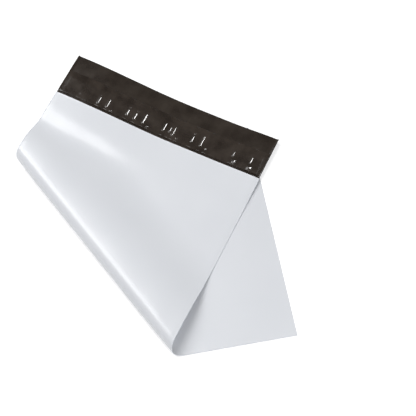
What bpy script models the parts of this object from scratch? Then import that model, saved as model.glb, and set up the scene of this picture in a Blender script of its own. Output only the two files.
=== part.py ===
"""Poly mailer bag, lying flat and folded over once on a slant, with its sealing flap open.

One web of plastic film makes the whole pouch: it is folded up at the bottom, welded along
both sides, and left longer at the back, where the end stands out as the flap. The flap's
inner face carries a band of hot-melt glue under a peel-off liner. The bag lies folded over
its own back, so the bottom half rests on the table, back panel up, and the top half comes
round a soft open bend and settles on it, front panel up.

Metres, +Z up. The bag is drawn flat first, then laid over. In the flat drawing x runs along
the mouth, y runs from the bottom to the flap with the mouth's edge at y = 0, and z is the
height in the bag's own thickness, from the back panel's outer face.
"""

import math

import bmesh
import bpy
from mathutils import Vector

# The bag, as it measures when flat
BAG_WIDTH = 0.250
BAG_LENGTH = 0.360
FLAP_DEPTH = 0.053

# The film, and the air that stays between the two panels
FILM = 0.00008
PANEL_GAP = 0.0004
AIR_SWELL = 0.0012
SWELL_MARGIN = 0.040
MOUTH_SWELL = 0.0005

# The side welds
WELD_WIDTH = 0.004
WELD_INSET = 0.0003
WELD_FROM_BOTTOM = 0.002

# The glue and its liner, across the flap
GLUE_WIDTH = 0.015
GLUE_THICKNESS = 0.0002
LINER_FROM_MOUTH = 0.003
LINER_PAST_GLUE = 0.007
LINER_THICKNESS = 0.0001
LINER_END_GAP = 0.0015
GLUE_END_GAP = 0.005
LAYER_CLEARANCE = 0.0003

# How the bag is folded over and laid down
FOLD_SLANT = math.radians(27.0)
FOLD_DISTANCE = 0.1455
FOLD_RADIUS = 0.0093
SETTLE_LENGTH = 0.092
HALVES_CLEARANCE = 0.0004

# How high the top half's left side is held up, the level crest before it sinks, and how much
# sooner it comes to rest on the left
HELD_HEIGHT = 0.0085
HELD_WIDTH = 0.150
CREST_LENGTH = 0.004
SOONER_SHARE = 0.50
SOONER_WIDTH = 0.160

# The trough in front of the mouth, and the flap's lifted corners
TROUGH_DEPTH = 0.0028
TROUGH_FROM_MOUTH = 0.042
TROUGH_SLANT = 0.07
TROUGH_SPREAD = 0.015
TROUGH_FADE_START = 0.065
TROUGH_FADE_WIDTH = 0.090
SHALLOW_SHARE = 0.30
SHALLOW_WIDTH = 0.045
WAVE_START = 0.030
CURL_HEIGHT = 0.0010
CURL_WIDTH = 0.110
CORNER_DEPTH = 0.110
CORNER_LIFT = 0.003
CORNER_WIDTH = 0.060

# How finely the curves are cut
BEND_STEPS = 20
SETTLE_STEPS = 14
BOTTOM_STEPS = 4
COARSE_STRIP = 0.024
FINE_STRIP = 0.012
SNAP = 1e-7
SHARP_ANGLE = math.radians(35)

PANELS = 2 * FILM + PANEL_GAP
FOLD_ALONG = Vector((math.cos(FOLD_SLANT), -math.sin(FOLD_SLANT), 0.0))
FOLD_ACROSS = Vector((math.sin(FOLD_SLANT), math.cos(FOLD_SLANT), 0.0))
SPLIT_DIRECTION = Vector((1.0, 1.3, 0.1))
HALF_BEND = math.pi * FOLD_RADIUS / 2
REST_HEIGHT = PANELS + AIR_SWELL + HALVES_CLEARANCE


def ease(share):
    """0 up to share 0, 1 from share 1 on, and a smooth S between."""
    share = min(max(share, 0.0), 1.0)
    return share * share * (3 - 2 * share)


def slow_ease(share):
    """Like ease, with softer ends and a steeper middle."""
    return share**3 * (10 - 15 * share + 6 * share**2)


def fold_reach(x, y):
    """Distance from the fold's line, above 0 on the top half and below 0 on the bottom half."""
    return x * FOLD_ACROSS.x + y * FOLD_ACROSS.y + FOLD_DISTANCE


def swell(x, y):
    """How far air holds the panels apart at a point, beyond the gap that they have at the welds."""
    if y > 0:
        return 0.0
    from_side = BAG_WIDTH / 2 - abs(x)
    from_bottom = y + BAG_LENGTH
    full = MOUTH_SWELL + (AIR_SWELL - MOUTH_SWELL) * ease(-y / SWELL_MARGIN)
    return full * ease(from_side / SWELL_MARGIN) * ease(from_bottom / SWELL_MARGIN)


def wave(x, y):
    """The rise of the top half's own soft waves over the way that it settles."""
    from_left = x + BAG_WIDTH / 2
    off_trough = (y + TROUGH_FROM_MOUTH + TROUGH_SLANT * from_left) / TROUGH_SPREAD
    trough = TROUGH_DEPTH * math.exp(-off_trough * off_trough)
    trough *= 1 - ease((from_left - TROUGH_FADE_START) / TROUGH_FADE_WIDTH)
    trough *= 1 - SHALLOW_SHARE * (1 - ease(from_left / SHALLOW_WIDTH))
    curl = CURL_HEIGHT * ease(y / FLAP_DEPTH) * (1 - ease(from_left / CURL_WIDTH))
    up_the_corner = ease((y - FLAP_DEPTH + CORNER_DEPTH) / CORNER_DEPTH)
    corner = CORNER_LIFT * up_the_corner * ease((x - BAG_WIDTH / 2 + CORNER_WIDTH) / CORNER_WIDTH)
    return curl + corner - trough


def settle(over, x):
    """(run, rise) of the top half at a length past the bend: it sinks from the bend's top to rest."""
    from_left = x + BAG_WIDTH / 2
    length = SETTLE_LENGTH * (1 - SOONER_SHARE * (1 - ease(from_left / SOONER_WIDTH)))
    drop = 2 * FOLD_RADIUS - REST_HEIGHT - HELD_HEIGHT * (1 - ease(from_left / HELD_WIDTH))
    length -= CREST_LENGTH
    share = min(max((over - CREST_LENGTH) / length, 0.0), 1.0)
    # Half the integral of the slope squared is how much shorter the sinking film reaches.
    squared = share**5 * (1 / 5 - 2 * share / 3 + 6 * share**2 / 7 - share**3 / 2 + share**4 / 9)
    slack = 450 * drop * drop / length * squared
    return FOLD_RADIUS + over - slack, 2 * FOLD_RADIUS - drop * slow_ease(share)


def lay_over(point):
    """Takes a point of the flat bag to its place on the laid, folded bag."""
    x, y, height = point
    puff = swell(x, y)
    if height > FILM + SNAP:
        height += puff * ease((height - FILM) / PANEL_GAP)
    reach = fold_reach(x, y)
    thick = PANELS + puff
    if reach > HALF_BEND:
        run, rise = settle(reach - HALF_BEND, x)
        rise += height + wave(x, y) * ease((reach - HALF_BEND) / WAVE_START)
    elif reach < -HALF_BEND:
        run = FOLD_RADIUS - reach - HALF_BEND
        rise = thick - height
    else:
        angle = reach / FOLD_RADIUS
        sunk = thick * (0.5 - 0.5 * math.sin(angle))
        radius = FOLD_RADIUS + height - sunk
        run = FOLD_RADIUS - radius * math.cos(angle)
        rise = FOLD_RADIUS + radius * math.sin(angle)
    along = x * FOLD_ALONG.x + y * FOLD_ALONG.y
    laid = FOLD_ALONG * along + FOLD_ACROSS * (run - FOLD_DISTANCE)
    laid.z = rise
    return laid


def add_box(mesh, low, high):
    """A closed box between two corners."""
    made = bmesh.ops.create_cube(mesh, size=1.0)
    low = Vector(low)
    high = Vector(high)
    for vert in made["verts"]:
        vert.co = (low + high) / 2 + Vector(a * b for a, b in zip(vert.co, high - low))


def cut_in_strips(mesh):
    """Cuts a flat closed mesh along the fold, finely where it will bend, and across it."""
    corners = [v.co for v in mesh.verts]
    reaches = [fold_reach(c.x, c.y) for c in corners]
    runs = [c.dot(FOLD_ALONG) for c in corners]
    bend = [HALF_BEND * (2 * i / BEND_STEPS - 1) for i in range(BEND_STEPS + 1)]
    settling = [HALF_BEND + SETTLE_LENGTH * i / SETTLE_STEPS for i in range(1, SETTLE_STEPS + 1)]
    beyond = spaced(settling[-1], max(reaches), FINE_STRIP)
    before = spaced(min(reaches), bend[0], COARSE_STRIP)
    across = spaced(min(runs), max(runs), COARSE_STRIP)
    for place in before + bend + settling + beyond:
        cut(mesh, FOLD_ACROSS * (place - FOLD_DISTANCE), FOLD_ACROSS)
    for place in across:
        cut(mesh, FOLD_ALONG * place, FOLD_ALONG)


def spaced(low, high, step):
    """Places strictly between low and high, no more than a step apart."""
    if high <= low:
        return []
    count = max(1, math.ceil((high - low) / step))
    return [low + (high - low) * i / count for i in range(1, count)]


def cut(mesh, place, normal):
    """Adds one loop of edges where a plane crosses the mesh, and takes nothing away."""
    geometry = mesh.verts[:] + mesh.edges[:] + mesh.faces[:]
    bmesh.ops.bisect_plane(mesh, geom=geometry, dist=SNAP, plane_co=place, plane_no=normal)


def split_alike(mesh):
    """Cuts each face into triangles from the corner that lies furthest back across the grid.

    The film's two faces then split along the same lines, so that they never cross where it warps.
    """
    for face in list(mesh.faces):
        start = min(face.verts, key=lambda vert: vert.co.dot(SPLIT_DIRECTION))
        while len(face.verts) > 3:
            loop = next(each for each in face.loops if each.vert == start)
            halves = (face, bmesh.utils.face_split(face, start, loop.link_loop_next.link_loop_next.vert)[0])
            face = max(halves, key=lambda half: len(half.verts))


def turn_up_bottom(mesh):
    """Folds the long web up at its bottom, so that the rest of it becomes the front panel."""
    middle = PANELS / 2
    arc = math.pi * (middle - FILM / 2)
    for step in range(BOTTOM_STEPS + 1):
        cut(mesh, Vector((0, -BAG_LENGTH - arc * step / BOTTOM_STEPS, 0)), Vector((0, 1, 0)))
    for vert in mesh.verts:
        past = -BAG_LENGTH - vert.co.y
        if past <= 0:
            continue
        angle = min(past / arc, 1.0) * math.pi
        radius = middle - vert.co.z
        vert.co.y = -BAG_LENGTH - radius * math.sin(angle) + max(past - arc, 0.0)
        vert.co.z = middle - radius * math.cos(angle)


def material(name, colour, roughness):
    made = bpy.data.materials.new(name)
    made.use_nodes = True
    shader = made.node_tree.nodes["Principled BSDF"]
    shader.inputs["Base Color"].default_value = (*colour, 1.0)
    shader.inputs["Roughness"].default_value = roughness
    shader.inputs["Metallic"].default_value = 0.0
    return made


def object_of(name, mesh, *materials):
    """Turns a finished bmesh into a named object."""
    data = bpy.data.meshes.new(name)
    mesh.to_mesh(data)
    mesh.free()
    for each in materials:
        data.materials.append(each)
    made = bpy.data.objects.new(name, data)
    bpy.context.scene.collection.objects.link(made)
    return made


def weld_sides(mesh):
    """Fills the gap between the panels with a solid strip along each side."""
    outside = BAG_WIDTH / 2 - WELD_INSET
    inside = outside - WELD_WIDTH
    top = -WELD_INSET
    bottom = WELD_FROM_BOTTOM - BAG_LENGTH
    for place in (-outside, -inside, inside, outside):
        cut(mesh, Vector((place, 0, 0)), Vector((1, 0, 0)))
    for place in (top, bottom):
        cut(mesh, Vector((0, place, 0)), Vector((0, 1, 0)))
    for side in (-1, 1):
        facing = [
            face
            for face in mesh.faces
            if inside < side * face.calc_center_median().x < outside
            and bottom < face.calc_center_median().y < top
            and FILM / 2 < face.calc_center_median().z < PANELS - FILM / 2
        ]
        bmesh.ops.delete(mesh, geom=facing, context="FACES")
        rims = [edge for edge in mesh.edges if edge.is_boundary]
        bmesh.ops.bridge_loops(mesh, edges=rims)


def flat_pouch():
    """The film bag as it leaves the machine: one web turned up at the bottom and side-welded."""
    web = bmesh.new()
    bottom_arc = math.pi * (PANELS - FILM) / 2
    add_box(
        web,
        (-BAG_WIDTH / 2, -2 * BAG_LENGTH - bottom_arc, 0.0),
        (BAG_WIDTH / 2, FLAP_DEPTH, FILM),
    )
    turn_up_bottom(web)
    weld_sides(web)
    bmesh.ops.recalc_face_normals(web, faces=web.faces)
    return web


def make_film_bag(white, dark):
    pouch = flat_pouch()
    cut_in_strips(pouch)
    # The film is dark on its inner side, which shows on the open flap and in the mouth.
    pouch.normal_update()
    for face in pouch.faces:
        height = face.calc_center_median().z
        lies_flat = abs(face.normal.z) > math.cos(SHARP_ANGLE)
        face.material_index = int(lies_flat and FILM / 2 < height < PANELS - FILM / 2)
    return laid_object("film_bag", pouch, white, dark)


def make_band(name, from_mouth, width, end_gap, base, thickness, look):
    """A thin band across the flap's inner face, bent with it."""
    band = bmesh.new()
    half = BAG_WIDTH / 2 - end_gap
    add_box(band, (-half, from_mouth, base), (half, from_mouth + width, base + thickness))
    cut_in_strips(band)
    return laid_object(name, band, look)


def make_adhesive_strip(look):
    return make_band(
        "adhesive_strip",
        LINER_FROM_MOUTH + LINER_PAST_GLUE,
        GLUE_WIDTH,
        GLUE_END_GAP,
        FILM + LAYER_CLEARANCE,
        GLUE_THICKNESS,
        look,
    )


def make_release_liner(look):
    return make_band(
        "release_liner",
        LINER_FROM_MOUTH,
        GLUE_WIDTH + 2 * LINER_PAST_GLUE,
        LINER_END_GAP,
        FILM + LAYER_CLEARANCE + GLUE_THICKNESS + LAYER_CLEARANCE,
        LINER_THICKNESS,
        look,
    )


def laid_object(name, mesh, *materials):
    split_alike(mesh)
    for vert in mesh.verts:
        vert.co = lay_over(vert.co)
    made = object_of(name, mesh, *materials)
    made.data.shade_smooth()
    made.data.set_sharp_from_angle(angle=SHARP_ANGLE)
    return made


def stand_on_origin(objects):
    """Moves the finished pieces so that the middle of the bag's box, at the table, is the origin."""
    points = [v.co for made in objects for v in made.data.vertices]
    middle = Vector(
        (
            (min(p.x for p in points) + max(p.x for p in points)) / 2,
            (min(p.y for p in points) + max(p.y for p in points)) / 2,
            min(p.z for p in points),
        )
    )
    for made in objects:
        made.location = -middle


def main():
    for old in list(bpy.data.objects):
        bpy.data.objects.remove(old)
    white = material("white_film", (0.80, 0.83, 0.87), 0.30)
    dark = material("dark_inner_face", (0.045, 0.040, 0.036), 0.35)
    glue = material("hot_melt_glue", (0.10, 0.09, 0.08), 0.45)
    liner = material("liner_film", (0.06, 0.053, 0.048), 0.25)
    stand_on_origin([make_film_bag(white, dark), make_adhesive_strip(glue), make_release_liner(liner)])


main()
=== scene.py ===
import math

import bmesh
import bpy
from mathutils import Matrix, Vector, noise


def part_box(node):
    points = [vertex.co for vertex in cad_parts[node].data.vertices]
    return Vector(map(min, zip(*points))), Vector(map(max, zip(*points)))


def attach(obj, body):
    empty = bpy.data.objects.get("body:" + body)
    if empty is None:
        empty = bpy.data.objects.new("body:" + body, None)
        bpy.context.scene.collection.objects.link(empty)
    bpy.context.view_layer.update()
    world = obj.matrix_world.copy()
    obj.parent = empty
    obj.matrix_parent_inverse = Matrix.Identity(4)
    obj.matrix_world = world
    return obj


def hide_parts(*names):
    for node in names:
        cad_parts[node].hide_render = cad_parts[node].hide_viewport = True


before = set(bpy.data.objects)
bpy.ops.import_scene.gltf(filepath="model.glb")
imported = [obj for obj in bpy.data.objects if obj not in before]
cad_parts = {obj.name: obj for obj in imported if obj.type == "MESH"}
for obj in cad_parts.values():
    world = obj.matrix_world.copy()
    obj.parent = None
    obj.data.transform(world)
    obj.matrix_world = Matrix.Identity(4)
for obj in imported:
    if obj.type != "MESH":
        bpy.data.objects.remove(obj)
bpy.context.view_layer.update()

# Film bag. One web of blown polyethylene, 80 micrometres thick, white outside and dark brown-grey
# inside. It is turned up at the bottom to make the front panel, and the back runs on past the mouth
# as the flap. The empty pack is bent over once on a slant, with no crease, and settles on itself.

BAG_WIDTH = 0.250
BAG_LENGTH = 0.360
FLAP_DEPTH = 0.053
FILM = 0.00008
PANEL_GAP = 0.0004
HALVES_CLEARANCE = 0.0004
PANELS = 2 * FILM + PANEL_GAP

# The air left in the pocket, with soft dents
POCKET_AIR = 0.0012
MOUTH_AIR = 0.0005
AIR_MARGIN = 0.040
DENT_SHARE = 0.30
DENT_LENGTH = 0.045

# Where the two films are pressed together along the sides, and how the mouth's edge lifts
SEAL_GAP = 0.00004
SEAL_WIDTH = 0.006
MOUTH_LIFT = 0.0002
MOUTH_LIFT_WIDTH = 0.0022
MOUTH_WAVE = 0.0007
MOUTH_WAVE_LENGTH = 0.055
MOUTH_WAVE_MARGIN = 0.036
MOUTH_WAVE_BASE = 0.5

# The slanted bend, and the way over which the top half sinks to rest
FOLD_SLANT = math.radians(27.0)
FOLD_DISTANCE = 0.1455
FOLD_RADIUS = 0.0093
HALF_BEND = math.pi * FOLD_RADIUS / 2
SETTLE_LENGTH = 0.092
REST_HEIGHT = PANELS + POCKET_AIR + HALVES_CLEARANCE
FOLD_ALONG = Vector((math.cos(FOLD_SLANT), -math.sin(FOLD_SLANT), 0.0))
FOLD_ACROSS = Vector((math.sin(FOLD_SLANT), math.cos(FOLD_SLANT), 0.0))

# The top half's waves: the left side is held up and sinks sooner, a trough runs along in front of
# the mouth, the flap's left end curls up and the right corner lifts
HELD_HEIGHT = 0.0085
HELD_WIDTH = 0.150
CREST_LENGTH = 0.004
SOONER_SHARE = 0.50
SOONER_WIDTH = 0.160
TROUGH_DEPTH = 0.0028
TROUGH_FROM_MOUTH = 0.042
TROUGH_SLANT = 0.07
TROUGH_SPREAD = 0.015
TROUGH_FADE_START = 0.065
TROUGH_FADE_WIDTH = 0.090
SHALLOW_SHARE = 0.30
SHALLOW_WIDTH = 0.045
WAVE_START = 0.030
CURL_HEIGHT = 0.0010
CURL_WIDTH = 0.110
CORNER_DEPTH = 0.110
CORNER_LIFT = 0.003
CORNER_WIDTH = 0.060

# The small puckers that the side welds pull into the film
PUCKER_HEIGHT = 0.00016
PUCKER_LENGTH = 0.013
PUCKER_WIDTH = BAG_WIDTH / 4
PUCKER_BASE = 0.3
PUCKER_REACH = 0.011
PUCKER_FADE = 0.020

# The flap's own small forms: curled cut edges and a soft unevenness
EDGE_CURL = 0.0008
EDGE_CURL_WIDTH = 0.0032
FLAP_RIPPLE = 0.0005
FLAP_RIPPLE_LENGTH = 0.030
FLAP_RIPPLE_SQUEEZE = 1.5

# Which slice of the noise each of the uneven forms is taken from
MOUTH_SLICE = 7.3
PUCKER_SLICE = 3.1
RIPPLE_SLICE = 0.02

# The two faces' colours, roughness, gloss coat and fine relief
WHITE_TINTS = ((0.735, 0.756, 0.795), (0.750, 0.770, 0.808))
WHITE_ROUGHNESS = (0.40, 0.46)
WHITE_COAT = 0.75
WHITE_COAT_ROUGHNESS = 0.185
WHITE_CLOUD_HEIGHT = 0.0003
WHITE_DIMPLE_HEIGHT = 0.00006
WHITE_GRAIN_HEIGHT = 0.0000008
DARK_TINTS = ((0.016, 0.010, 0.006), (0.033, 0.024, 0.017))
DARK_ROUGHNESS = (0.17, 0.25)
DARK_STREAK_HEIGHT = 0.000006
DARK_DIMPLE_HEIGHT = 0.00003

# The grid that the web is bent from, and where it is cut finer: round the turn at the bottom, along
# the sides and at the mouth
WEB_CELL = 0.0024
TURN_STEPS = 6
SIDE_INSETS = (0.0004, 0.0008, 0.0013, 0.0020, 0.0028, 0.0040)
MOUTH_INSETS = (0.0003, 0.0007, 0.0011, 0.0015, 0.0022)
SNAP = 1e-7
SHEET_X = Vector((1, 0, 0))
SHEET_Y = Vector((0, 1, 0))


def ease(share):
    """0 up to share 0, 1 from share 1 on, and a smooth S between."""
    share = min(max(share, 0.0), 1.0)
    return share * share * (3 - 2 * share)


def slow_ease(share):
    """Like ease, with softer ends and a steeper middle."""
    return share**3 * (10 - 15 * share + 6 * share**2)


def hump(offset):
    """A smooth bump of height 1 at offset 0 that is gone by about offset 2."""
    return math.exp(-offset * offset)


def fold_reach(x, y):
    """Distance from the bend's line, above 0 on the top half and below 0 on the bottom half."""
    return x * FOLD_ACROSS.x + y * FOLD_ACROSS.y + FOLD_DISTANCE


def air(x, y):
    """How much further apart than at the welds the air holds the two panels."""
    if y > 0:
        return 0.0
    full = MOUTH_AIR + (POCKET_AIR - MOUTH_AIR) * ease(-y / AIR_MARGIN)
    from_side = ease((BAG_WIDTH / 2 - abs(x)) / AIR_MARGIN)
    from_bottom = ease((y + BAG_LENGTH) / AIR_MARGIN)
    dents = 1 + DENT_SHARE * noise.noise(Vector((x, y, 0.0)) / DENT_LENGTH)
    return full * from_side * from_bottom * dents


def panel_space(x, y):
    """The clear space between the two films: pressed shut at the welds, lifted at the mouth."""
    from_side = BAG_WIDTH / 2 - abs(x)
    off_seal = ease(from_side / SEAL_WIDTH)
    space = SEAL_GAP + (PANEL_GAP - SEAL_GAP) * off_seal + air(x, y)
    at_mouth = 1 - ease(-y / AIR_MARGIN)
    lift = MOUTH_WAVE_BASE + noise.noise(Vector((x / MOUTH_WAVE_LENGTH, MOUTH_SLICE, 0.0)))
    space += MOUTH_WAVE * at_mouth**2 * max(lift, 0.0) * ease(from_side / MOUTH_WAVE_MARGIN)
    return space + MOUTH_LIFT * (1 - ease(-y / MOUTH_LIFT_WIDTH)) * off_seal


def wave(x, y):
    """How far the top half's soft waves lift it over the way that it settles."""
    from_left = x + BAG_WIDTH / 2
    off_trough = y + TROUGH_FROM_MOUTH + TROUGH_SLANT * from_left
    trough = TROUGH_DEPTH * hump(off_trough / TROUGH_SPREAD)
    trough *= 1 - ease((from_left - TROUGH_FADE_START) / TROUGH_FADE_WIDTH)
    trough *= 1 - SHALLOW_SHARE * (1 - ease(from_left / SHALLOW_WIDTH))
    curl = CURL_HEIGHT * ease(y / FLAP_DEPTH) * (1 - ease(from_left / CURL_WIDTH))
    up_the_corner = ease((y - FLAP_DEPTH + CORNER_DEPTH) / CORNER_DEPTH)
    corner = CORNER_LIFT * up_the_corner * ease((x - BAG_WIDTH / 2 + CORNER_WIDTH) / CORNER_WIDTH)
    return curl + corner - trough


def pucker(x, y):
    """Small ripples that run in from the side welds and die out."""
    if y > 0:
        return 0.0
    from_side = BAG_WIDTH / 2 - abs(x)
    ripple = PUCKER_BASE + noise.noise(Vector((x / PUCKER_WIDTH, y / PUCKER_LENGTH, PUCKER_SLICE)))
    clear_of_bend = ease((abs(fold_reach(x, y)) - HALF_BEND) / PUCKER_FADE)
    return PUCKER_HEIGHT * max(ripple, 0.0) * hump(from_side / PUCKER_REACH) * clear_of_bend


def flap_relief(x, y):
    """How far the flap's film stands off the plane that its back panel runs on in."""
    if y <= 0:
        return 0.0
    from_side = BAG_WIDTH / 2 - abs(x)
    edge = EDGE_CURL * (1 - ease(from_side / EDGE_CURL_WIDTH)) * ease(y / SEAL_WIDTH)
    place = Vector((x, y * FLAP_RIPPLE_SQUEEZE, RIPPLE_SLICE)) / FLAP_RIPPLE_LENGTH
    ripple = (1 + noise.noise(place)) / 2
    return edge + FLAP_RIPPLE * ripple * ease(y / AIR_MARGIN)


def settle(over, x):
    """(run, rise) of the top half at a length past the bend, as it sinks to rest."""
    from_left = x + BAG_WIDTH / 2
    length = SETTLE_LENGTH * (1 - SOONER_SHARE * (1 - ease(from_left / SOONER_WIDTH)))
    drop = 2 * FOLD_RADIUS - REST_HEIGHT - HELD_HEIGHT * (1 - ease(from_left / HELD_WIDTH))
    length -= CREST_LENGTH
    share = min(max((over - CREST_LENGTH) / length, 0.0), 1.0)
    # Half the integral of the slope squared is how much shorter the sinking film reaches. The slope
    # of slow_ease is 30 * share**2 * (1 - share)**2, and this is its square's integral over 30 squared.
    squared = share**5 * (1 / 5 - 2 * share / 3 + 6 * share**2 / 7 - share**3 / 2 + share**4 / 9)
    slack = 30**2 / 2 * drop * drop / length * squared
    return FOLD_RADIUS + over - slack, 2 * FOLD_RADIUS - drop * slow_ease(share)


def lay_over(x, y, height):
    """Where a point of the flat bag lies on the folded one. Height is from the back's outer face."""
    reach = fold_reach(x, y)
    thick = PANELS + air(x, y)
    if reach > HALF_BEND:
        run, rise = settle(reach - HALF_BEND, x)
        rise += height + wave(x, y) * ease((reach - HALF_BEND) / WAVE_START) + pucker(x, y)
    elif reach < -HALF_BEND:
        run = FOLD_RADIUS - reach - HALF_BEND
        rise = thick - height + pucker(x, y)
    else:
        angle = reach / FOLD_RADIUS
        sunk = thick * (0.5 - 0.5 * math.sin(angle))
        radius = FOLD_RADIUS + height - sunk
        run = FOLD_RADIUS - radius * math.cos(angle)
        rise = FOLD_RADIUS + radius * math.sin(angle)
    along = x * FOLD_ALONG.x + y * FOLD_ALONG.y
    laid = FOLD_ALONG * along + FOLD_ACROSS * (run - FOLD_DISTANCE)
    laid.z = rise
    return laid


def cut(mesh, axis, places):
    """Adds a line of edges across the mesh at each place along an axis, and takes nothing away."""
    for place in places:
        geometry = mesh.verts[:] + mesh.edges[:] + mesh.faces[:]
        bmesh.ops.bisect_plane(
            mesh, geom=geometry, dist=SNAP, plane_co=axis * place, plane_no=axis
        )


def flat_sheet(width, length, cell):
    """A flat grid from y = 0 to y = length, centred in x, with a UV map that follows it."""
    mesh = bmesh.new()
    mesh.loops.layers.uv.new("sheet")
    bmesh.ops.create_grid(
        mesh,
        x_segments=round(width / cell),
        y_segments=round(length / cell),
        size=0.5,
    )
    bmesh.ops.scale(mesh, vec=(width, length, 1.0), verts=mesh.verts)
    bmesh.ops.translate(mesh, vec=(0.0, length / 2, 0.0), verts=mesh.verts)
    return mesh


def map_sheet(mesh, width, length, start=0.0):
    """Writes each corner's place on a flat sheet that begins at y = start into the UV map."""
    layer = mesh.loops.layers.uv["sheet"]
    for face in mesh.faces:
        for loop in face.loops:
            place = loop.vert.co
            loop[layer].uv = (place.x / width + 0.5, (place.y - start) / length)


def finished(name, mesh, looks, thickness=None):
    """A bmesh as a smooth object, with a wall where a thickness is given."""
    data = bpy.data.meshes.new(name)
    mesh.to_mesh(data)
    mesh.free()
    for look in looks:
        data.materials.append(look)
    data.shade_smooth()
    made = bpy.data.objects.new(name, data)
    bpy.context.scene.collection.objects.link(made)
    if thickness:
        wall = made.modifiers.new("wall", "SOLIDIFY")
        wall.thickness = thickness
        wall.offset = 0.0
        wall.use_even_offset = False
        wall.material_offset = len(looks) - 1
        made.modifiers.new("shading", "WEIGHTED_NORMAL")
    return made


def add_node(look, kind, **settings):
    """A shader node with its settings and its sockets' values, given by name."""
    node = look.node_tree.nodes.new(kind)
    for name, value in settings.items():
        if hasattr(node, name):
            setattr(node, name, value)
        else:
            node.inputs[name.replace("_", " ").title()].default_value = value
    return node


def join(look, source, target):
    look.node_tree.links.new(source, target)


def blank_look(name, roughness, specular=0.5):
    """A material with its shader's plain values set, and that shader."""
    look = bpy.data.materials.new(name)
    look.use_nodes = True
    shader = look.node_tree.nodes["Principled BSDF"]
    shader.inputs["Roughness"].default_value = roughness
    shader.inputs["Specular IOR Level"].default_value = specular
    return look, shader


def sheet_noise(look, size, scale, detail=2.0, squeeze=(1, 1)):
    """Noise in the UV map of a sheet of this width and length. squeeze packs it closer each way."""
    place = add_node(look, "ShaderNodeUVMap", uv_map="sheet")
    metres = (size[0] * squeeze[0], size[1] * squeeze[1], 1.0)
    stretch = add_node(look, "ShaderNodeMapping", Scale=metres)
    grain = add_node(look, "ShaderNodeTexNoise", Scale=scale, Detail=detail)
    join(look, place.outputs["UV"], stretch.inputs["Vector"])
    join(look, stretch.outputs["Vector"], grain.inputs["Vector"])
    return grain.outputs["Fac"]


def object_noise(look, scale, detail=2.0):
    """Noise in the piece's own space."""
    place = add_node(look, "ShaderNodeTexCoord")
    grain = add_node(look, "ShaderNodeTexNoise", Scale=scale, Detail=detail)
    join(look, place.outputs["Object"], grain.inputs["Vector"])
    return grain.outputs["Fac"]


def spread(look, source, low, high, start=0.3, end=0.7):
    """Maps a value's range from start to end, a texture's middle range, to that from low to high."""
    reach = add_node(look, "ShaderNodeMapRange", From_Min=start, From_Max=end, To_Min=low, To_Max=high)
    join(look, source, reach.inputs["Value"])
    return reach.outputs["Result"]


def tint(look, source, first, second):
    """A colour between two, by a texture."""
    ramp = add_node(look, "ShaderNodeValToRGB")
    ramp.color_ramp.elements[0].position = 0.35
    ramp.color_ramp.elements[0].color = (*first, 1.0)
    ramp.color_ramp.elements[1].position = 0.65
    ramp.color_ramp.elements[1].color = (*second, 1.0)
    join(look, source, ramp.inputs["Fac"])
    return ramp.outputs["Color"]


def relief(look, source, height, under=None):
    """A bump of a real height, on top of another one where that is given."""
    bump = add_node(look, "ShaderNodeBump", Strength=1.0, Distance=height)
    join(look, source, bump.inputs["Height"])
    if under:
        join(look, under, bump.inputs["Normal"])
    return bump.outputs["Normal"]


def dress(look, shader, colour_by, tints, roughness_by, roughness, normal):
    """Joins patterned colour, patterned roughness and relief to a material's shader."""
    join(look, tint(look, colour_by, *tints), shader.inputs["Base Color"])
    join(look, spread(look, roughness_by, *roughness), shader.inputs["Roughness"])
    join(look, normal, shader.inputs["Normal"])


turn_radius = (PANEL_GAP + FILM) / 2
web_length = FLAP_DEPTH + 2 * (BAG_LENGTH - turn_radius) + math.pi * turn_radius
web_size = (BAG_WIDTH, web_length)

white_film, shader = blank_look("white_film", roughness=0.4)
shader.inputs["Coat Weight"].default_value = WHITE_COAT
shader.inputs["Coat Roughness"].default_value = WHITE_COAT_ROUGHNESS
cloud = sheet_noise(white_film, web_size, scale=14.0)
dimples = sheet_noise(white_film, web_size, scale=60.0)
grain = sheet_noise(white_film, web_size, scale=900.0, detail=3.0)
normal = relief(white_film, cloud, WHITE_CLOUD_HEIGHT)
normal = relief(white_film, dimples, WHITE_DIMPLE_HEIGHT, normal)
normal = relief(white_film, grain, WHITE_GRAIN_HEIGHT, normal)
dress(white_film, shader, cloud, WHITE_TINTS, dimples, WHITE_ROUGHNESS, normal)
join(white_film, normal, shader.inputs["Coat Normal"])

dark_film, shader = blank_look("dark_inner_film", roughness=0.3)
cloud = sheet_noise(dark_film, web_size, scale=45.0, detail=4.0)
streaks = sheet_noise(dark_film, web_size, scale=60.0, detail=4.0, squeeze=(10, 0.5))
dimples = sheet_noise(dark_film, web_size, scale=160.0, detail=3.0)
normal = relief(dark_film, streaks, DARK_STREAK_HEIGHT)
normal = relief(dark_film, dimples, DARK_DIMPLE_HEIGHT, normal)
dress(dark_film, shader, cloud, DARK_TINTS, cloud, DARK_ROUGHNESS, normal)

web = flat_sheet(BAG_WIDTH, web_length, WEB_CELL)
cut(web, SHEET_X, [side * (BAG_WIDTH / 2 - inset) for side in (-1, 1) for inset in SIDE_INSETS])
turn_start = FLAP_DEPTH + BAG_LENGTH - turn_radius
turn_lines = [turn_start + math.pi * turn_radius * i / TURN_STEPS for i in range(TURN_STEPS + 1)]
cut(web, SHEET_Y, turn_lines + [web_length - inset for inset in MOUTH_INSETS])
map_sheet(web, BAG_WIDTH, web_length)


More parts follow.
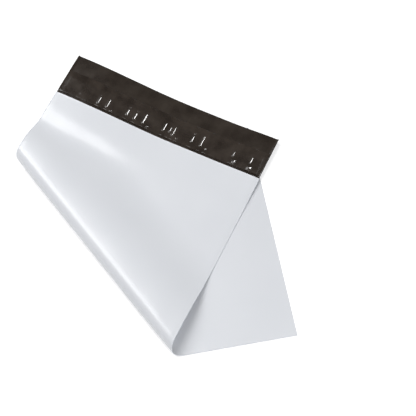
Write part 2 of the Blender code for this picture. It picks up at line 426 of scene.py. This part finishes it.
def web_place(x, run):
    """Where a point of the web lies, run being its distance from the flap's far end."""
    half = (FILM + panel_space(x, -BAG_LENGTH)) / 2
    straight = FLAP_DEPTH + BAG_LENGTH - half
    past = run - straight
    if past <= 0:
        y = FLAP_DEPTH - run
        height = FILM / 2 + flap_relief(x, y)
    elif past < math.pi * half:
        angle = past / half
        y = half - BAG_LENGTH - half * math.sin(angle)
        height = FILM / 2 + half - half * math.cos(angle)
    else:
        y = half - BAG_LENGTH + past - math.pi * half
        height = FILM * 1.5 + panel_space(x, y)
    return lay_over(x, min(y, FLAP_DEPTH), height)


for vert in web.verts:
    vert.co = web_place(vert.co.x, vert.co.y)

# The CAD solid has the same shape, so its box gives the move that seats every piece on it
box_low, box_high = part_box("film_bag")
web_low = Vector([min(vert.co[i] for vert in web.verts) for i in range(3)])
web_high = Vector([max(vert.co[i] for vert in web.verts) for i in range(3)])
seat = (box_low + box_high - web_low - web_high) / 2
seat.z = 0.0
bmesh.ops.translate(web, vec=seat, verts=web.verts)

film_bag = finished("film_web", web, [white_film, dark_film], FILM)
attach(film_bag, "root")
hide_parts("film_bag")

# Weld beads. Along each side a hot blade cuts the two films and melts them into one thin rounded
# bead of the same polyethylene, which runs from the turned-up bottom to the mouth's edge.

BEAD_RADIUS = 0.00034
BEAD_SIDES = 10
BEAD_STEP = 0.0024
BEAD_UNEVEN = 0.16
BEAD_LUMP_LENGTH = 0.006
BEAD_TINTS = ((0.74, 0.77, 0.82), (0.82, 0.84, 0.88))
BEAD_ROUGHNESS = (0.16, 0.30)
BEAD_PIT_HEIGHT = 0.00006

bead_look, shader = blank_look("melted_bead", roughness=0.22)
pits = object_noise(bead_look, scale=260.0, detail=3.0)
normal = relief(bead_look, pits, BEAD_PIT_HEIGHT)
dress(bead_look, shader, pits, BEAD_TINTS, pits, BEAD_ROUGHNESS, normal)

for side_name, side in (("left", -1), ("right", 1)):
    bead = bmesh.new()
    bmesh.ops.create_cone(
        bead,
        cap_ends=True,
        segments=BEAD_SIDES,
        radius1=1.0,
        radius2=1.0,
        depth=BAG_LENGTH,
        matrix=Matrix.Rotation(math.pi / 2, 4, "X") @ Matrix.Translation((0, 0, BAG_LENGTH / 2)),
    )
    steps = round(BAG_LENGTH / BEAD_STEP)
    cut(bead, SHEET_Y, [-BAG_LENGTH * i / steps for i in range(1, steps)])
    for vert in bead.verts:
        y = vert.co.y
        lump = 1 + BEAD_UNEVEN * noise.noise(Vector((side, y / BEAD_LUMP_LENGTH, 0.0)))
        x = side * BAG_WIDTH / 2 + vert.co.x * BEAD_RADIUS * lump
        height = FILM + SEAL_GAP / 2 + vert.co.z * BEAD_RADIUS * lump
        vert.co = lay_over(x, y, height) + seat
    bmesh.ops.recalc_face_normals(bead, faces=bead.faces)
    weld = finished(f"weld_bead_{side_name}", bead, [bead_look])
    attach(weld, "root")

# Adhesive band. A stripe of clear-dark hot melt, laid across the flap's inner face by a roller, so
# its two long edges wander a little and its skin is faintly ribbed along the band.

GLUE_WIDTH = 0.015
GLUE_THICKNESS = 0.0002
GLUE_END_GAP = 0.005
GLUE_CELL = 0.0015
GLUE_WANDER = 0.0004
GLUE_WANDER_LENGTH = 0.018
LAYER_CLEARANCE = 0.0003
LINER_FROM_MOUTH = 0.003
LINER_PAST_GLUE = 0.007
GLUE_TINTS = ((0.085, 0.074, 0.062), (0.115, 0.103, 0.090))
GLUE_ROUGHNESS = (0.36, 0.52)
GLUE_RIB_HEIGHT = 0.00004

glue_length = BAG_WIDTH - 2 * GLUE_END_GAP
glue_low = LINER_FROM_MOUTH + LINER_PAST_GLUE
glue_middle = glue_low + GLUE_WIDTH / 2
glue_floor = FILM + LAYER_CLEARANCE

glue_size = (glue_length, GLUE_WIDTH)
glue_look, shader = blank_look("hot_melt", roughness=0.45)
ribs = sheet_noise(glue_look, glue_size, scale=180.0, squeeze=(0.4, 8))
mottle = sheet_noise(glue_look, glue_size, scale=220.0, detail=3.0)
normal = relief(glue_look, ribs, GLUE_RIB_HEIGHT)
dress(glue_look, shader, mottle, GLUE_TINTS, mottle, GLUE_ROUGHNESS, normal)

glue = flat_sheet(glue_length, GLUE_WIDTH, GLUE_CELL)
map_sheet(glue, glue_length, GLUE_WIDTH)
for vert in glue.verts:
    across = (vert.co.y / GLUE_WIDTH - 0.5) * 2
    wander = GLUE_WANDER * noise.noise(Vector((vert.co.x / GLUE_WANDER_LENGTH, round(across), 0.0)))
    y = glue_middle + across * GLUE_WIDTH / 2 + wander * abs(across)
    height = glue_floor + GLUE_THICKNESS / 2 + flap_relief(vert.co.x, y)
    vert.co = lay_over(vert.co.x, y, height) + seat
glue_band = finished("glue_band", glue, [glue_look], GLUE_THICKNESS)
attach(glue_band, "root")
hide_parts("adhesive_strip")

# Release liner. A thin dark siliconed film over the glue, pulled off before sealing. It is laid on
# from a reel, so it has nipped up into short sharp creases across its width, in uneven groups.

LINER_THICKNESS = 0.0001
LINER_END_GAP = 0.0015
LINER_CELL = 0.0020
LINER_EDGE_DROP = 0.0006
LINER_EDGE_WIDTH = 0.0090
LINER_END_WIDTH = 0.0045
LINER_TINTS = ((0.016, 0.010, 0.006), (0.034, 0.024, 0.017))
LINER_ROUGHNESS = (0.15, 0.22)
LINER_STREAK_HEIGHT = 0.000006
LINER_DIMPLE_HEIGHT = 0.00003

# Each crease: its place along the liner, where it starts and ends above the mouth, and how big it is
CREASES = (
    (-0.0772, 0.0065, 0.0166, 1.0),
    (-0.0770, 0.0173, 0.0192, 0.9),
    (-0.0662, 0.0065, 0.0192, 1.0),
    (-0.0594, 0.0040, 0.0070, 1.0),
    (-0.0419, 0.0084, 0.0176, 1.0),
    (-0.0416, 0.0185, 0.0204, 0.9),
    (-0.0323, 0.0076, 0.0178, 1.0),
    (-0.0320, 0.0186, 0.0204, 0.9),
    (-0.0215, 0.0076, 0.0220, 1.0),
    (-0.0147, 0.0055, 0.0085, 1.0),
    (0.0030, 0.0094, 0.0214, 1.0),
    (0.0102, 0.0110, 0.0190, 0.8),
    (0.0147, 0.0085, 0.0217, 0.9),
    (0.0212, 0.0066, 0.0096, 1.0),
    (0.0375, 0.0100, 0.0200, 1.0),
    (0.0378, 0.0208, 0.0227, 0.9),
    (0.0487, 0.0094, 0.0243, 1.0),
    (0.0560, 0.0078, 0.0112, 1.0),
    (0.0868, 0.0130, 0.0205, 0.7),
    (0.0905, 0.0050, 0.0112, 1.5),
    (0.1080, 0.0125, 0.0205, 0.7),
    (0.1092, 0.0042, 0.0105, 1.9),
)
CREASE_HEIGHT = 0.00036
CREASE_SPREAD = 0.00115
CREASE_END = 0.0011
SLANTED_CREASE = (-0.0965, 0.0081, 0.0267, 1.0)
SLANTED_LEAN = 0.36
SLANTED_SHARE = 0.45

# Where the liner is cut finer: over each crease, in its spreads, over the slanted one, and lengthways
CREASE_CUTS = (-1.8, -1.4, -1.1, -0.9, -0.7, -0.5, -0.3, -0.1, 0.1, 0.3, 0.5, 0.7, 0.9, 1.1, 1.4, 1.8)
SLANTED_CUTS = range(-9, 10)
SLANTED_CUT_STEP = 0.0006
LONG_CUTS = range(22)
LONG_CUT_START = 0.0045
LONG_CUT_STEP = 0.001

liner_length = BAG_WIDTH - 2 * LINER_END_GAP
liner_width = GLUE_WIDTH + 2 * LINER_PAST_GLUE
liner_floor = glue_floor + GLUE_THICKNESS + LAYER_CLEARANCE

liner_size = (liner_length, liner_width)
liner_look, shader = blank_look("siliconed_liner", roughness=0.24)
mottle = sheet_noise(liner_look, liner_size, scale=60.0, detail=4.0)
dimples = sheet_noise(liner_look, liner_size, scale=210.0, detail=3.0)
streaks = sheet_noise(liner_look, liner_size, scale=70.0, detail=3.0, squeeze=(0.5, 9))
normal = relief(liner_look, streaks, LINER_STREAK_HEIGHT)
normal = relief(liner_look, dimples, LINER_DIMPLE_HEIGHT, normal)
dress(liner_look, shader, mottle, LINER_TINTS, mottle, LINER_ROUGHNESS, normal)


def crease(x, y, place, low, high, size, lean=0.0):
    """One steep-ended ridge across the liner, from low to high above the mouth, size times as big."""
    centre = place + lean * (y - (low + high) / 2)
    ends = ease((y - low) / CREASE_END / size) * ease((high - y) / CREASE_END / size)
    return CREASE_HEIGHT * size * hump((x - centre) / CREASE_SPREAD / size) * ends


liner = flat_sheet(liner_length, liner_width, LINER_CELL)
bmesh.ops.translate(liner, vec=(0.0, LINER_FROM_MOUTH, 0.0), verts=liner.verts)
crease_lines = [
    place + size * CREASE_SPREAD * offset
    for place, low, high, size in CREASES
    for offset in CREASE_CUTS
]
slanted_lines = [SLANTED_CREASE[0] + SLANTED_CUT_STEP * step for step in SLANTED_CUTS]
cut(liner, SHEET_X, crease_lines + slanted_lines)
cut(liner, SHEET_Y, [LONG_CUT_START + LONG_CUT_STEP * step for step in LONG_CUTS])
map_sheet(liner, liner_length, liner_width, LINER_FROM_MOUTH)
for vert in liner.verts:
    x, y = vert.co.x, vert.co.y
    from_edge = (LINER_FROM_MOUTH + liner_width - y) / LINER_EDGE_WIDTH
    from_end = (liner_length / 2 - abs(x)) / LINER_END_WIDTH
    drop = LINER_EDGE_DROP * (1 - ease(min(from_edge, from_end)))
    height = liner_floor + LINER_THICKNESS / 2 - drop + flap_relief(x, y)
    height += sum(crease(x, y, *each) for each in CREASES)
    height += SLANTED_SHARE * crease(x, y, *SLANTED_CREASE, SLANTED_LEAN)
    vert.co = lay_over(x, y, height) + seat
release_liner = finished("liner_strip", liner, [liner_look], LINER_THICKNESS)
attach(release_liner, "root")
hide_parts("release_liner")

# Floor. A plain white sweep, which stays white to the camera and in reflections and still takes
# the bag's soft shadow.

FLOOR_SIZE = 6.0
FLOOR_GLOW = 0.42
FLOOR_TINTS = ((0.795, 0.795, 0.795), (0.805, 0.805, 0.805))
WHITE = (1.0, 1.0, 1.0, 1.0)

floor_look, shader = blank_look("white_sweep", roughness=0.9, specular=0.0)
shader.inputs["Emission Color"].default_value = WHITE
mottle = object_noise(floor_look, scale=3.0)
join(floor_look, tint(floor_look, mottle, *FLOOR_TINTS), shader.inputs["Base Color"])
path = add_node(floor_look, "ShaderNodeLightPath")
seen = add_node(floor_look, "ShaderNodeMath", operation="MAXIMUM")
glow = add_node(floor_look, "ShaderNodeMath", operation="MULTIPLY")
glow.inputs[1].default_value = FLOOR_GLOW
join(floor_look, path.outputs["Is Camera Ray"], seen.inputs[0])
join(floor_look, path.outputs["Is Glossy Ray"], seen.inputs[1])
join(floor_look, seen.outputs["Value"], glow.inputs[0])
join(floor_look, glow.outputs["Value"], shader.inputs["Emission Strength"])

floor_mesh = bmesh.new()
bmesh.ops.create_grid(floor_mesh, x_segments=1, y_segments=1, size=FLOOR_SIZE / 2)
floor = finished("floor", floor_mesh, [floor_look])

# Light. A long soft box overhead, in line with the bend, draws the bright band along it. A low one
# on the right fills the shade under the top half. A small hard one at the back is flagged off the
# film, so it only glints in the liner's creases. The room is a pale tent, darker above.

STRIP_PLACE = (-1.11, -0.275, 1.40)
STRIP_SIZE = (1.68, 0.83)
STRIP_RADIANCE = 5.5
FILL_PLACE = (1.15, 0.00, 0.75)
FILL_SIZE = (0.80, 0.80)
FILL_RADIANCE = 5.6
KEY_PLACE = (0.16, 0.74, 1.30)
KEY_SIZE = (0.56, 0.36)
KEY_RADIANCE = 50.0
TENT_TOP = 0.27
TENT_SIDE = 0.52
TENT_FRONT = 0.76
TENT_BACK = 0.78
LIT_POINT = Vector((0.035, 0.028, 0.0))


def soft_box(name, place, size, radiance, diffuse=True, glossy=True):
    """An area lamp over the bag. Its place is along the bend, across it and up, from LIT_POINT."""
    lamp = bpy.data.lights.new(name, "AREA")
    lamp.shape = "RECTANGLE"
    lamp.size, lamp.size_y = size
    lamp.energy = radiance * math.pi * size[0] * size[1]
    away = FOLD_ALONG * place[0] + FOLD_ACROSS * place[1] + Vector((0, 0, place[2]))
    turn = Matrix((FOLD_ALONG, FOLD_ACROSS, Vector((0, 0, 1)))).transposed().to_4x4()
    made = bpy.data.objects.new(name, lamp)
    bpy.context.scene.collection.objects.link(made)
    made.matrix_world = Matrix.Translation(LIT_POINT + away) @ turn
    made.visible_diffuse = diffuse
    made.visible_glossy = glossy
    return made


soft_box("strip_box", STRIP_PLACE, STRIP_SIZE, STRIP_RADIANCE)
key_box = soft_box("key_box", KEY_PLACE, KEY_SIZE, KEY_RADIANCE, diffuse=False)
lit_by_key = bpy.data.collections.new("lit_by_key")
lit_by_key.objects.link(release_liner)
key_box.light_linking.receiver_collection = lit_by_key
soft_box("fill_box", FILL_PLACE, FILL_SIZE, FILL_RADIANCE, glossy=False)

tent = bpy.data.worlds.new("pale_tent")
tent.use_nodes = True
bpy.context.scene.world = tent
glow = tent.node_tree.nodes["Background"]
glow.inputs["Color"].default_value = WHITE
direction = add_node(tent, "ShaderNodeTexCoord")
parts = add_node(tent, "ShaderNodeSeparateXYZ")
join(tent, direction.outputs["Generated"], parts.inputs["Vector"])
facing = add_node(tent, "ShaderNodeVectorMath", operation="DOT_PRODUCT")
facing.inputs[1].default_value = FOLD_ACROSS
join(tent, direction.outputs["Generated"], facing.inputs[0])
by_height = spread(tent, parts.outputs["Z"], TENT_SIDE, TENT_TOP, start=0.0, end=1.0)
by_side = spread(tent, facing.outputs["Value"], TENT_FRONT, TENT_BACK, start=-1.0, end=1.0)
shaded = add_node(tent, "ShaderNodeMath", operation="MULTIPLY")
join(tent, by_height, shaded.inputs[0])
join(tent, by_side, shaded.inputs[1])
sight = add_node(tent, "ShaderNodeLightPath")
plain = add_node(tent, "ShaderNodeMix", data_type="FLOAT")
plain.inputs["B"].default_value = 1.0
join(tent, sight.outputs["Is Camera Ray"], plain.inputs["Factor"])
join(tent, shaded.outputs["Value"], plain.inputs["A"])
join(tent, plain.outputs["Result"], glow.inputs["Strength"])

# Camera. It looks down at the bag from the front and a little to the right, at the bag's right half.
# Its place and its lens come from the same fit as the bag's proportions, in the frame's own pixels.

VIEW_ELEVATION = math.radians(62.53)
VIEW_AZIMUTH = math.radians(25.35)
VIEW_DISTANCE = 1.2349
VIEW_CENTRE = Vector((0.03475, 0.02836, 0.0))
FRAME_PIXELS = 416
FOCAL_PIXELS = 1151.4
SENSOR = 36.0

lens = bpy.data.cameras.new("camera")
lens.sensor_width = SENSOR
lens.lens = FOCAL_PIXELS / FRAME_PIXELS * SENSOR
camera = bpy.data.objects.new("camera", lens)
bpy.context.scene.collection.objects.link(camera)
camera.rotation_euler = (math.pi / 2 - VIEW_ELEVATION, 0.0, VIEW_AZIMUTH)
camera.location = VIEW_CENTRE + camera.rotation_euler.to_matrix() @ Vector((0, 0, VIEW_DISTANCE))
bpy.context.scene.camera = camera
bpy.context.scene.view_settings.view_transform = "Standard"
